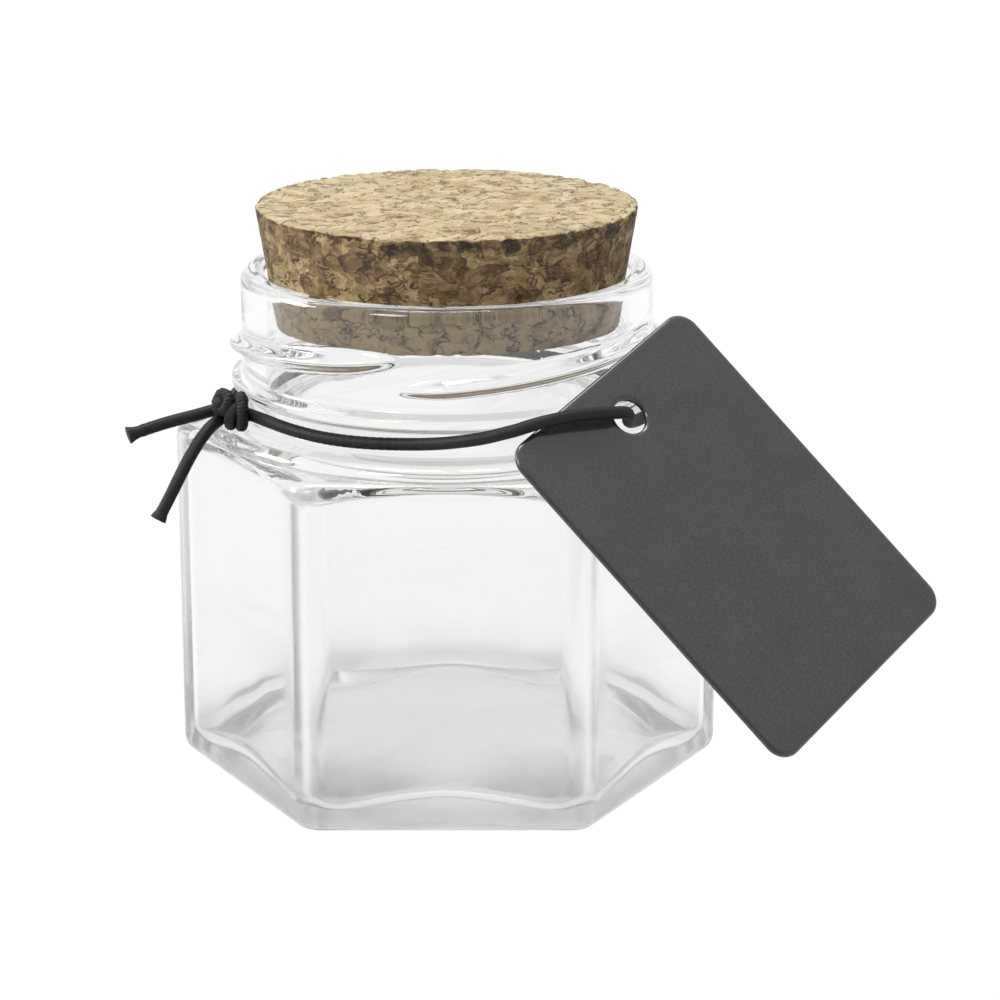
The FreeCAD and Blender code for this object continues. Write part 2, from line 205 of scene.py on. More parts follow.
cord_route = np.concatenate([
    on_neck(UPPER_TAIL)[::-1], on_neck(ALONG_FRONT), on_tag(OVER_TAG), on_neck(BEHIND), on_neck(LOWER_TAIL),
])
print(len(cord_route), "points, tag facing", tag_out.round(3))

# %% [markdown]
# The formula of a spline could be written out, but Blender's own curve already has it. The route becomes the
# control points of a curve without thickness, and the smooth line is read back from the mesh made of it.

# %% Smooth line through a route
SPLINE_ORDER, SPLINE_STEPS = 3, 20


def smooth_line(route):
    """Points of a quadratic spline that the route's points control, read from a curve with no bevel."""
    curve = bpy.data.curves.new("route", "CURVE")
    curve.dimensions = "3D"
    curve.resolution_u = SPLINE_STEPS
    spline = curve.splines.new("NURBS")
    spline.points.add(len(route) - 1)
    spline.points.foreach_set("co", np.column_stack([route, np.ones(len(route))]).ravel())
    spline.order_u = SPLINE_ORDER
    spline.use_endpoint_u = True
    holder = bpy.data.objects.new("route", curve)
    mesh = bpy.data.meshes.new_from_object(holder)
    line = np.empty(len(mesh.vertices) * 3)
    mesh.vertices.foreach_get("co", line)
    bpy.data.meshes.remove(mesh)
    bpy.data.objects.remove(holder)
    bpy.data.curves.remove(curve)
    return line.reshape(-1, 3)


def distance_along(line):
    """The running sum of the steps from each point of a line to the next, from 0 at its start."""
    return np.concatenate([[0], np.cumsum(np.linalg.norm(np.diff(line, axis=0), axis=1))])


cord_line = smooth_line(cord_route)
cord_along = distance_along(cord_line)
print(f"cord {cord_along[-1] / MM:.1f} mm long, {len(cord_line)} points")

# %% [markdown]
# ## The cord
#
# Seen close, the cord is a braided tube with a wax finish. Its strands could be laid round each other one by
# one, but at this thickness only their relief shows. So it is one tube whose radius follows two crossing
# sets of helices. At each cut end the braid has opened a little, which is a flare of the radius over the
# last millimetre or so.

# %% A tube along a line
CORD_COLUMNS = 32
BRAID_STRANDS, BRAID_PITCH, BRAID_RELIEF = 6, 3.6 * MM, 0.07
FLARE, FLARE_LENGTH = 0.42, 1.3 * MM


def tube(line, radius, side):
    """Rings round a line: its point plus a radius times cos and sin along two directions square to the line.

    The first direction is square to the line and to a side that the line never follows; the second is square
    to both. The radius is an array of one value for each point of each ring.
    """
    forward = unit(np.gradient(line, axis=0))
    first = unit(np.cross(np.asarray(side, float), forward))
    second = np.cross(forward, first)
    angle = np.linspace(0, 2 * np.pi, radius.shape[1], endpoint=False)[None, :, None]
    around = np.cos(angle) * first[:, None] + np.sin(angle) * second[:, None]
    return line[:, None] + radius[..., None] * around


def braided(along, base):
    """Radius times 1 + relief * product of two sines that turn opposite ways along the cord."""
    angle = np.linspace(0, 2 * np.pi, CORD_COLUMNS, endpoint=False)[None, :]
    turn = 2 * np.pi * along[:, None] / BRAID_PITCH
    relief = np.sin(BRAID_STRANDS * (angle + turn)) * np.sin(BRAID_STRANDS * (angle - turn))
    return base * (1 + BRAID_RELIEF * relief)


def flared(along):
    """1 in the middle, rising to 1 + flare at both ends with the square of the nearness to the end."""
    to_end = np.minimum(along, along[-1] - along)
    return 1 + FLARE * np.clip(1 - to_end / FLARE_LENGTH, 0, 1) ** 2


cord_radius = braided(cord_along, CORD_DIAMETER / 2) * flared(cord_along)[:, None]
cord = add_piece("neck_cord", tube(cord_line, cord_radius, UP), poles=cord_line[[0, -1]])

# %% [markdown]
# ## The knot
#
# The two ends are tied together in a small tight knot. Its cord goes over and under itself so closely that
# only a few turns show: a loop at the upper left, a tall bight on the right, and a shorter one in the lower
# middle. Their route is a list of points in the knot's own frame, and goes through the same spline as the
# cord. A cord that is pulled tight is lumpy, so a field of waves in random directions swells and thins it.
# The cork will use such a field for its pits.

# %% The knot
KNOT_MIDDLE = np.array([-22.65, -12.75, 43.2])
KNOT_RIGHT = np.array([0.85, -0.53, 0.0])
WAVE_COUNT, LUMP_LENGTHS, LUMP_DEPTH, LUMP_SEED = 48, (0.9, 2.2), 0.09, 3
# to the right, up, and out from the neck, in mm
KNOT_ROUTE = [
    (-0.9, -0.3, -0.8), (-1.6, -0.2, -0.3), (-1.85, 0.45, 0.2), (-1.45, 1.15, 0.6),
    (-0.75, 1.75, 0.55), (0.0, 1.6, 0.75), (0.25, 0.75, 1.0), (-0.3, 0.0, 1.0),
    (-1.1, -0.15, 0.75), (-1.3, 0.5, 0.85), (-0.9, 1.0, 1.0), (-0.3, 0.9, 0.2),
    (0.3, 0.0, -0.7), (0.9, 1.0, -0.6), (1.1, 1.6, 0.1), (1.7, 0.8, 0.6),
    (1.85, -0.3, 0.7), (1.5, -1.4, 0.45), (0.95, -1.75, -0.1), (0.7, -0.8, -0.8),
    (0.9, 0.3, -0.2), (0.85, 0.6, 0.85), (0.45, -0.5, 1.05), (0.0, -1.45, 0.65),
    (-0.2, -1.7, -0.1), (0.1, -0.8, -0.8),
]


def rough_field(points, seed, span):
    """Sum of sine waves with seeded directions, lengths and phases, scaled to a spread of about 1."""
    chance = np.random.default_rng(seed)
    ways = unit(chance.normal(size=(WAVE_COUNT, 3)))
    lengths = chance.uniform(*span, WAVE_COUNT)
    phases = chance.uniform(0, 2 * np.pi, WAVE_COUNT)
    waves = np.sin(points @ (ways * (2 * np.pi / lengths)[:, None]).T + phases)
    return waves.sum(axis=-1) * math.sqrt(2 / WAVE_COUNT)


knot_axes = np.array([unit(KNOT_RIGHT), UP, unit(np.cross(KNOT_RIGHT, UP))])
knot_route = KNOT_MIDDLE + np.array(KNOT_ROUTE) @ knot_axes
knot_line = smooth_line(knot_route * MM)
knot_radius = braided(distance_along(knot_line), CORD_DIAMETER / 2)
lumps = rough_field(tube(knot_line, knot_radius, knot_axes[0]) / MM, LUMP_SEED, LUMP_LENGTHS)
knot_radius = knot_radius * (1 + LUMP_DEPTH * np.clip(lumps, -1, 1))
knot = add_piece("cord_knot_turns", tube(knot_line, knot_radius, knot_axes[0]), poles=knot_line[[0, -1]])

# %% [markdown]
# ## The glass
#
# The jar is one moulded piece: a hexagonal body, a round shoulder, and a round neck with a groove, a bead,
# four lugs and a rolled lip. A boolean of a prism and a cylinder would leave hard creases, and light that
# goes through glass shows each of them. So the whole surface is a single grid, from the middle of the base
# up the outside, over the lip and down the inside to the middle of the floor. Each row is a radius for every
# azimuth, and the columns lie closer together at the corners, where the surface turns.

# %% Azimuths and the hexagon
HALF_FLATS, CORNER_ROUND = 26.45, 3.2
SECTOR, CORNER_SPAN = 60.0, 4.5
FLAT_COLUMNS, CORNER_COLUMNS = 16, 26

sector = np.concatenate([
    np.linspace(-SECTOR / 2, -CORNER_SPAN, FLAT_COLUMNS, endpoint=False),
    np.linspace(-CORNER_SPAN, CORNER_SPAN, CORNER_COLUMNS, endpoint=False),
    np.linspace(CORNER_SPAN, SECTOR / 2, FLAT_COLUMNS, endpoint=False),
])
azimuth = (np.arange(0, 360, SECTOR)[:, None] + sector).ravel()


def hexagon(half_flats, corner):
    """A rounded hexagon as a radius for each azimuth.

    On a flat it is the half width over the cosine of the angle from the flat's middle. At a corner it is the
    far side of a circle of the corner's radius, whose middle lies on the corner's line.
    """
    off = np.radians(np.abs(azimuth % SECTOR - SECTOR / 2))
    near = math.radians(SECTOR / 2) - off
    middle = (half_flats - corner) / math.cos(math.radians(SECTOR / 2))
    bend = middle * np.cos(near) + np.sqrt(np.maximum(corner ** 2 - (middle * np.sin(near)) ** 2, 0))
    on_flat = half_flats * np.tan(off) <= (half_flats - corner) * math.tan(math.radians(SECTOR / 2))
    return np.where(on_flat, half_flats / np.cos(off), bend)


def soft_step(value, low, high):
    """0 below low, 1 above high, with a smooth rise between."""
    share = np.clip((value - low) / (high - low), 0, 1)
    return share * share * (3 - 2 * share)


print(len(azimuth), "columns, corners at", hexagon(HALF_FLATS, CORNER_ROUND).max().round(2), "mm")

# %% [markdown]
# The round part starts as a half profile: a list of corners, joined by straight runs. An arc that touches
# both runs takes the place of each corner, as a moulded edge is never sharp. Rows lie closer together near
# an arc, where the light bends most.

# %% Outline of the round shoulder, the neck and the bore
ARC_STEP, ARC_POINTS, RUN_POINTS = math.radians(11), 4, 2


def eased(count):
    """Shares from 0 to 1, closer together at both ends, without the ends themselves."""
    return (0.5 - 0.5 * np.cos(np.pi * np.arange(1, count) / count))[:, None]


def rounded_outline(corners):
    """Straight runs and tangent arcs.

    A corner is a radius, a height, its rounding and the gap between points on the run to it. The middle of
    its arc lies on the line that halves the corner, at the rounding over the cosine of half the turn.
    """
    places = np.array([corner[:2] for corner in corners])
    made, start = [places[:1]], places[0]
    for index in range(1, len(corners)):
        corner, (rounding, gap) = places[index], corners[index][2:]
        if index + 1 < len(corners):
            back, on = unit(places[index - 1] - corner), unit(places[index + 1] - corner)
            half = 0.5 * (math.pi - math.acos(back @ on))
            enter = corner + back * rounding * math.tan(half)
            leave = corner + on * rounding * math.tan(half)
            middle = corner + unit(back + on) * rounding / math.cos(half)
            turn = np.linspace(-half, half, max(ARC_POINTS, math.ceil(2 * half / ARC_STEP) + 1))[:, None]
            arc = middle + rounding * (np.sin(turn) * unit(on - back) - np.cos(turn) * unit(back + on))
        else:
            enter = leave = corner
            arc = places[index:]
        count = max(RUN_POINTS, math.ceil(np.linalg.norm(enter - start) / gap))
        made += [start + (enter - start) * eased(count), arc]
        start = leave
    return np.concatenate(made)


SHELF_HEIGHT, SHOULDER_RADIUS, SHOULDER_FOOT = 38.6, 26.2, 38.76
GROOVE_RADIUS, BEAD_RADIUS = 22.0, 23.7
NECK_RADIUS, BORE_RADIUS, RIM_HEIGHT = 22.5, 19.85, 56.1
INSIDE_CEILING, CEILING_RADIUS = 37.3, 23.4
outside = rounded_outline([
    (SHOULDER_RADIUS, SHOULDER_FOOT, 0, 1),
    (SHOULDER_RADIUS, 40.1, 1.4, 0.3),  # edge of the shoulder
    (GROOVE_RADIUS, SHOULDER_HEIGHT, 0.6, 0.6),  # groove, below and above
    (GROOVE_RADIUS, 43.0, 0.35, 0.4),
    (BEAD_RADIUS, 43.6, 0.45, 0.3),  # bead, below and above
    (BEAD_RADIUS, 44.6, 0.45, 0.2),
    (NECK_RADIUS, 45.2, 0.35, 0.3),  # foot of the neck
    (NECK_RADIUS, RIM_HEIGHT, 1.2, 0.19),  # lip, outside and inside
    (BORE_RADIUS, RIM_HEIGHT, 0.8, 0.2),
    (BORE_RADIUS, INSIDE_CEILING, 3.4, 2.2),  # from the bore to the ceiling
    (CEILING_RADIUS, INSIDE_CEILING, 0, 1),
])
print(len(outside), "rows from the shoulder, over the lip and down to the ceiling inside")

# %% [markdown]
# The lugs are what a twist-off lid would grip. Each is a soft rib that climbs a quarter of the way round and
# fades out at both ends, so it is a bump added to the neck's radius. Two fine lines where the halves of the
# mould met run up the neck, one at the front right and one opposite.

# %% Lugs and mould lines
LUG_COUNT, LUG_START, LUG_SWEEP, LUG_TAPER = 4, -102.0, 88.0, 15.0
LUG_HEIGHT, LUG_RISE, LUG_DEPTH, LUG_TIP = 47.4, 3.1, 1.4, 0.35
LUG_ABOVE, LUG_BELOW = 1.45, 1.1
SEAM_AZIMUTH, SEAM_WIDTH, SEAM_DEPTH = -63.9, 0.5, 0.04
NECK_FOOT, NECK_TOP = 45.25, 54.8


def lugs(height):
    """Depth times (1 - distance from the crest squared) squared, steeper below, and smaller at each tip."""
    total = np.zeros(height.shape)
    for start in LUG_START + 360.0 / LUG_COUNT * np.arange(LUG_COUNT):
        along = (azimuth - start) % 360
        fade = np.sin(np.pi / 2 * np.clip(np.minimum(along, LUG_SWEEP - along) / LUG_TAPER, 0, 1))
        middle = LUG_HEIGHT + LUG_RISE * along / LUG_SWEEP
        reach = np.where(height > middle, LUG_ABOVE, LUG_BELOW) * (LUG_TIP + (1 - LUG_TIP) * fade)
        across = np.clip((height - middle) / reach, -1, 1)
        total = np.maximum(total, LUG_DEPTH * fade * (1 - across ** 2) ** 2)
    return total


def seams():
    """A narrow bell over the azimuth at the mould's two halves."""
    off = (azimuth - SEAM_AZIMUTH + 90) % 180 - 90
    return SEAM_DEPTH * np.exp(-(off / SEAM_WIDTH) ** 2)


neck_radius = np.repeat(outside[:, :1], len(azimuth), axis=1)
neck_height = np.repeat(outside[:, 1:], len(azimuth), axis=1)
in_lug_zone = (neck_height > NECK_FOOT) & (neck_height < NECK_TOP)
on_outside = (neck_radius > (NECK_RADIUS + BORE_RADIUS) / 2) & in_lug_zone
neck_radius += np.where(on_outside, np.maximum(lugs(neck_height), seams()), 0)
print("widest lug", neck_radius[on_outside].max().round(2), "mm")

# %% [markdown]
# The body is a stack of hexagons. Outside, its lower and upper edges are bends. Inside, the walls run into
# the floor and the ceiling. The floor is thicker at the middle of each flat than at the corners, so the bend
# between it and the wall rises and falls as an arch on every side.

# %% Bends and steps of the body
BASE_ROUND, BASE_ROWS = 2.0, 10
SHELF_ROUND, SHELF_FOOT, STEP_SHARE = 1.5, SHOULDER_FOOT - SHELF_HEIGHT, 0.8
RISE_ROWS, FLAT_ROWS, FALL_ROWS = 8, 3, 5
INSIDE_HALF, INSIDE_CORNER, BEND_SOFTNESS, BEND_ROWS, CUSP = 23.85, 3.1, 1.3, 22, 3.0


def level_rows(radii, heights):
    """Rows of radii, each at one height."""
    return np.array(radii), np.repeat(np.array(heights, float)[:, None], len(azimuth), axis=1)


def base_bend():
    """The rounded lower edge: the hexagon drawn in by the rounding times 1 less the cosine of an angle."""
    angles = np.radians(np.linspace(-90, 0, BASE_ROWS))
    insets = BASE_ROUND * (1 - np.cos(angles))
    radii = [hexagon(HALF_FLATS - inset, CORNER_ROUND - inset) for inset in insets]
    return level_rows(radii, BASE_ROUND + BASE_ROUND * np.sin(angles))


def inner_bend(level, bend, half_flats, corner):
    """The inside from the walls to a level, by a bend that takes up a height.

    The height follows the sine of an angle. The hexagon is drawn in to its half width at the level by one
    less the cosine, to a power that lets the bend begin without a mark, and its corners grow rounder on the
    way. The level and the bend's height are each given at the middle of a flat and at a corner, with an arch
    between corners.
    """
    angles = np.radians(np.linspace(0, 90, BEND_ROWS))
    halves = INSIDE_HALF + (half_flats - INSIDE_HALF) * (1 - np.cos(angles)) ** BEND_SOFTNESS
    corners = INSIDE_CORNER + (corner - INSIDE_CORNER) * soft_step(angles, 0, math.pi / 2)
    near = SECTOR / 2 - np.abs(azimuth % SECTOR - SECTOR / 2)
    on_flat = np.sin(np.pi * (np.hypot(near, CUSP) - CUSP) / SECTOR)
    height, rise = (pair[1] + (pair[0] - pair[1]) * on_flat for pair in (level, bend))
    radii = np.array([hexagon(*size) for size in zip(halves, corners)])
    return radii, height + rise * (1 - np.sin(angles))[:, None]


def shelf_step():
    """From the hexagon to the round shoulder: a bend, a flat, and a hollow at the shoulder's foot."""
    outer = hexagon(HALF_FLATS, CORNER_ROUND)
    room = outer - SHOULDER_RADIUS
    bend = np.minimum(SHELF_ROUND, STEP_SHARE * room)
    hollow = np.minimum(SHELF_FOOT, (1 - STEP_SHARE) * room)
    rise = np.radians(np.linspace(0, 90, RISE_ROWS))[:, None]
    fall = np.radians(np.linspace(-90, -180, FALL_ROWS))[:-1, None]
    flat = np.linspace(0, 1, FLAT_ROWS + 2)[1:-1, None]
    radii = [
        outer - bend + bend * np.cos(rise),
        (outer - bend) * (1 - flat) + (SHOULDER_RADIUS + hollow) * flat,
        SHOULDER_RADIUS + hollow + hollow * np.cos(fall),
    ]
    heights = [
        SHELF_HEIGHT - bend + bend * np.sin(rise),
        np.full((FLAT_ROWS, len(azimuth)), SHELF_HEIGHT),
        SHELF_HEIGHT + hollow + hollow * np.sin(fall),
    ]
    return np.concatenate(radii), np.concatenate(heights)


shelf = shelf_step()
print(len(shelf[0]), "rows from the flats to the shoulder")

# %% [markdown]
# Now the sections are put in order, each as an array of radii and one of heights, and become one closed
# surface. The middle of the base and the middle of the floor are its two poles.

# %% Body of the jar, outside and inside
WALL_ROWS, BASE_SHARES = 16, (0.15, 0.35, 0.55, 0.7, 0.8, 0.88, 0.94, 0.98)
FLOOR_MIDDLE, FLOOR_HALF, FLOOR_CORNER, FLOOR_POWER = 3.6, 20.0, 9.0, 4
# at the middle of a flat and at a corner
FLOOR_LEVEL, FLOOR_BEND = (3.0, 1.3), (3.0, 2.5)
CEILING_LEVEL, CEILING_BEND = (INSIDE_CEILING, INSIDE_CEILING), (-1.6, -1.6)

foot = hexagon(HALF_FLATS - BASE_ROUND, CORNER_ROUND - BASE_ROUND)
base = level_rows([share * foot for share in BASE_SHARES], np.zeros(len(BASE_SHARES)))
wall_share = eased(WALL_ROWS)
wall = (
    np.repeat(shelf[0][:1], len(wall_share), axis=0),
    BASE_ROUND + (shelf[1][:1] - BASE_ROUND) * wall_share,
)
ceiling = inner_bend(CEILING_LEVEL, CEILING_BEND, CEILING_RADIUS, CEILING_RADIUS)
ceiling = ceiling[0][-2::-1], ceiling[1][-2::-1]
bowl = inner_bend(FLOOR_LEVEL, FLOOR_BEND, FLOOR_HALF, FLOOR_CORNER)
inner_wall = (
    np.repeat(bowl[0][:1], len(wall_share), axis=0),
    ceiling[1][-1] + (bowl[1][0] - ceiling[1][-1]) * wall_share,
)
floor_share = np.array(BASE_SHARES[::-1])[:, None]
glass_floor = (
    floor_share * bowl[0][-1],
    FLOOR_MIDDLE + (bowl[1][-1] - FLOOR_MIDDLE) * floor_share ** FLOOR_POWER,
)

neck = neck_radius, neck_height
sections = [base, base_bend(), wall, shelf, neck, ceiling, inner_wall, bowl, glass_floor]
jar_radius, jar_height = (np.concatenate([section[i] for section in sections]) for i in range(2))
direction = np.radians(azimuth)
jar_x, jar_y = jar_radius * np.cos(direction), jar_radius * np.sin(direction)
jar_grid = np.stack([jar_x, jar_y, jar_height], axis=-1) * MM
jar = add_piece("jar_glass", jar_grid, poles=np.array([(0, 0, 0), (0, 0, FLOOR_MIDDLE * MM)]))

# %% [markdown]
# ## The cork
#
# The stopper is cut from a block of pressed cork granules, so its faces are full of small pits and its upper
# edge is chipped. Noise textures could fake that with shading alone, but the chips show in the outline. So
# the surface is a turned outline, moved inwards by the same kind of rough field that made the knot lumpy,
# which is smooth and the same on every run.

# %% Cork surface
CORK_COLUMNS, CORK_POLE = 480, 0.4
CORK_FOOT, CORK_TOP = (18.74, 50.6), (20.81, 63.1)
CORK_EDGE, CORK_STEP, FOOT_STEP, TOP_COARSER = 0.3, 0.28, 0.7, 1.4
PIT_LENGTHS, CORK_SEED = (1.1, 4.5), 7
PIT_LEVEL, PIT_RISE, PIT_DEPTH = 1.15, 0.7, 0.2
RELIEF, RELIEF_LIMIT = 0.035, 2
CHIP_REACH, CHIP_DEPTH, CHIP_LENGTHS, CHIP_SPREAD = 1.1, 0.55, (0.9, 2.6), (-0.2, 1.6)

cork_outline = rounded_outline([
    (CORK_POLE, CORK_FOOT[1], 0, 1),
    (*CORK_FOOT, CORK_EDGE, FOOT_STEP),
    (*CORK_TOP, CORK_EDGE, CORK_STEP),
    (CORK_POLE, CORK_TOP[1], 0, CORK_STEP * TOP_COARSER),
])
cork_turn = np.linspace(0, 2 * np.pi, CORK_COLUMNS, endpoint=False)


def turned(profile):
    """A profile carried round the axis: its first value times cos and sin of each turn, and its second."""
    across, up = profile[:, :1], profile[:, 1:]
    return np.stack(np.broadcast_arrays(across * np.cos(cork_turn), across * np.sin(cork_turn), up), axis=-1)


cork_grid = turned(cork_outline)
way_out = np.gradient(cork_outline, axis=0)
way_out = unit(np.stack([way_out[:, 1], -way_out[:, 0]], axis=1))
grain = rough_field(cork_grid, CORK_SEED, PIT_LENGTHS)
chips = rough_field(cork_grid, CORK_SEED + 1, CHIP_LENGTHS)
to_edge = np.linalg.norm(cork_outline - np.array(CORK_TOP), axis=1)[:, None]
at_edge = np.clip(1 - to_edge / CHIP_REACH, 0, 1)
pits = soft_step(grain, PIT_LEVEL, PIT_LEVEL + PIT_RISE)
depth = (
    PIT_DEPTH * pits + RELIEF * np.clip(-grain, 0, RELIEF_LIMIT)
    + CHIP_DEPTH * at_edge * soft_step(chips, *CHIP_SPREAD)
)
cork_grid = (cork_grid - turned(way_out) * depth[..., None]) * MM
cork = add_piece("cork_plug", cork_grid, poles=np.array([(0, 0, CORK_FOOT[1]), (0, 0, CORK_TOP[1])]) * MM)
print(f"deepest pit or chip {depth.max():.2f} mm")

# %% [markdown]
# ## The tag
#
# The tag is a flat card with round corners, edges rolled by the die that cut it, and a punched hole. It could
# be a bevelled plane, but the rolled edge is what catches the light, so it is a ring-shaped grid: across the
# front from the edge to the hole, through the hole, back along the other face and round the edge.

# %% Tag surface
TAG_WIDTH, TAG_LENGTH, TAG_THICK, TAG_CORNER = 30.0, 42.0, 0.8, 2.4
TAG_ROUND, TAG_ROLL_DEPTH = 0.6, 0.36
HOLE_RADIUS, HOLE_INSET = 1.9, 5.2
SIDE_POINTS, CORNER_POINTS, ROLL_POINTS = 40, 14, 10
FACE_SHARES = np.array([0, 0.015, 0.06, 0.15, 0.3, 0.5, 0.7, 0.85, 0.94, 0.985, 1])


def card_outline():
    """Points and outward directions, counterclockwise: a quarter circle at each corner, then a side."""
    half, top = TAG_WIDTH / 2 - TAG_CORNER, HOLE_INSET - TAG_CORNER
    low = HOLE_INSET - TAG_LENGTH + TAG_CORNER
    middles = np.array([(half, top), (-half, top), (-half, low), (half, low)])
    turn = np.radians(np.linspace(0, 90, CORNER_POINTS) + 90 * np.arange(4)[:, None])
    ways = np.stack([np.cos(turn), np.sin(turn)], axis=-1)
    bends = middles[:, None] + TAG_CORNER * ways
    share = np.linspace(0, 1, SIDE_POINTS + 2)[1:-1, None]
    sides = bends[:, -1:] * (1 - share) + np.roll(bends, -1, axis=0)[:, :1] * share
    points = np.concatenate([bends, sides], axis=1).reshape(-1, 2)
    outwards = np.concatenate([ways, np.repeat(ways[:, -1:], SIDE_POINTS, axis=1)], axis=1).reshape(-1, 2)
    return points, outwards


edge, edge_out = card_outline()
ring = unit(edge)
roll = np.radians(np.linspace(90, 0, ROLL_POINTS))[1:]
roll_inset = TAG_ROUND * (1 - np.cos(roll))
roll_lift = TAG_ROLL_DEPTH * (np.sin(roll) - 1)
inset = np.concatenate([roll_inset, roll_inset[::-1]])[:, None, None]
lift = np.concatenate([roll_lift, -TAG_THICK - roll_lift[::-1]])
hole_edge = ring * (HOLE_RADIUS + TAG_ROUND)
face = hole_edge + FACE_SHARES[:, None, None] * (edge - edge_out * TAG_ROUND - hole_edge)
tag_flat = np.concatenate([face[::-1], ring * (HOLE_RADIUS + inset), face, (edge - edge_out * inset)[::-1]])
tag_lift = np.concatenate([np.zeros(len(face)), lift, np.full(len(face), -TAG_THICK), lift[::-1]])
tag_lift = np.broadcast_to(tag_lift[:, None, None], (*tag_flat.shape[:2], 1))
tag = add_piece("tag_card", on_tag(np.concatenate([tag_flat, tag_lift], axis=-1)), loop=True)

# %% [markdown]
# ## Shader sums in plain Python
#
# A finish is a small graph of nodes. Wiring it by hand takes many lines, so one class stands for the output
# of a node, and a sum or product of two of them adds the Math node for it. Every other node comes from its
# one method.

# %% Wires between shader nodes
class Wire:
    """The output of a shader node. Arithmetic on wires and numbers adds Math nodes."""

    def __init__(self, tree, socket=None):
        self.tree, self.socket = tree, socket

    def node(self, kind, settings, inlets, outlet=0):
        """Adds a node: its settings, then a value or a wire for each inlet, by its name or its index."""
        made = self.tree.nodes.new("ShaderNode" + kind)
        for name, value in settings.items():
            if name == "stops":
                steps = made.color_ramp.elements
                while len(steps) < len(value):
                    steps.new(1.0)
                for step, (place, colour) in zip(steps, value):
                    step.position, step.color = place, (*colour, 1)
            else:
                setattr(made, name, value)
        for name, value in inlets.items():
            inlet = made.inputs[name] if isinstance(name, int) else next(
                socket for socket in made.inputs if socket.name == name and socket.enabled)
            if isinstance(value, Wire):
                self.tree.links.new(value.socket, inlet)
            else:
                inlet.default_value = value
        return Wire(self.tree, [socket for socket in made.outputs if socket.enabled][outlet])

    def math(self, operation, *values):
        """A Math node on wires and numbers."""
        return self.node("Math", {"operation": operation}, dict(enumerate(values)))

    def __add__(self, other):
        return self.math("ADD", self, other)

    def __sub__(self, other):
        return self.math("SUBTRACT", self, other)

    def __rsub__(self, other):
        return self.math("SUBTRACT", other, self)

    def __mul__(self, other):
        return self.math("MULTIPLY", self, other)

    __radd__, __rmul__ = __add__, __mul__

    def part(self, index):
        """One number of a vector: 0 for x, 1 for y and 2 for z."""
        return self.node("SeparateXYZ", {}, {"Vector": self}, outlet=index)

    def ramp(self, *stops):
        """A colour for each value: stops of a place and a colour."""
        return self.node("ValToRGB", {"stops": stops}, {"Fac": self})

    def between(self, low, high):
        """0 at low and 1 at high, with a smooth rise."""
        return self.node("MapRange", {"interpolation_type": "SMOOTHSTEP"},
                         {"Value": self, "From Min": low, "From Max": high})

    def mix(self, first, second):
        """One colour where this wire is 0 and another where it is 1."""
        return self.node("Mix", {"data_type": "RGBA"}, {"Factor": self, "A": first, "B": second})


# %% A finish
class Finish(Wire):
    """A material with one Principled shader, whose constants are set on its own sockets."""

    def __init__(self, name, **constants):
        self.material = bpy.data.materials.new(name)
        self.material.use_nodes = True
        super().__init__(self.material.node_tree)
        self.shader = self.tree.nodes["Principled BSDF"]
        for socket, value in constants.items():
            self.shader.inputs[socket.replace("_", " ")].default_value = value
        self.place = self.node("TexCoord", {}, {}, outlet=3)

    def stretched(self, scale):
        """Places on the piece, scaled along each axis."""
        return self.node("Mapping", {}, {"Vector": self.place, "Scale": scale})

    def from_axis(self):
        """Distance from the jar's axis: the length of the place once its height is made 0."""
        return self.node("VectorMath", {"operation": "LENGTH"}, {0: self.stretched((1.0, 1.0, 0.0))})

    def noise(self, scale, detail, place=None, **more):
        """Noise over the places on the piece, or over places that were moved."""
        inlets = {"Vector": place or self.place, "Scale": scale, "Detail": detail, **more}
        return self.node("TexNoise", {}, inlets)

    def bump(self, height, strength, distance):
        """A normal that tilts as a height of so many metres would tilt it."""
        return self.node("Bump", {}, {"Height": height, "Strength": strength, "Distance": distance})

    def on(self, piece, **wires):
        """Feeds wires to the shader's sockets and puts the finish on a piece."""
        for socket, wire in wires.items():
            self.tree.links.new(wire.socket, self.shader.inputs[socket.replace("_", " ")])
        piece.data.materials.append(self.material)
        print(f"{self.material.name}: {len(self.tree.nodes)} nodes, on {piece.name}")


# %% [markdown]
# ## Finishes
#
# Clear glass is mostly what lies behind it, so its colour is nearly white. What gives it away is the slight
# ripple left by the mould, which bends the light a little. The thick glass of the foot is greyer and a
# little hazy, and the upright corners are a little hazy too. Both could be painted on the mesh, but the
# height and the distance from the axis already tell where they are.

# %% Clear glass
CLEAR, GREY_GLASS = (0.938, 0.942, 0.939, 1), (0.43, 0.445, 0.415, 1)
CLOUD_SCALE, CLOUD_DETAIL = 120.0, 2.0
FOOT_HEIGHTS, FOOT_CLOUD, FOOT_GREY = (12 * MM, 5 * MM), 6 * MM, 0.22
RIM_HEIGHTS, RIM_CLOUD, RIM_GREY = (6.2 * MM, 3.5 * MM), 2 * MM, 0.36
RIM_REACH, CORNER_REACH = (25 * MM, 26.2 * MM), (28.4 * MM, 29.7 * MM)
POLISHED, FOOT_HAZE, CORNER_HAZE = 0.02, 0.13, 0.2
RIPPLE_SCALE, RIPPLE_DETAIL, RIPPLE_STRENGTH, RIPPLE_DEPTH = 70.0, 1.0, 0.2, 0.8 * MM

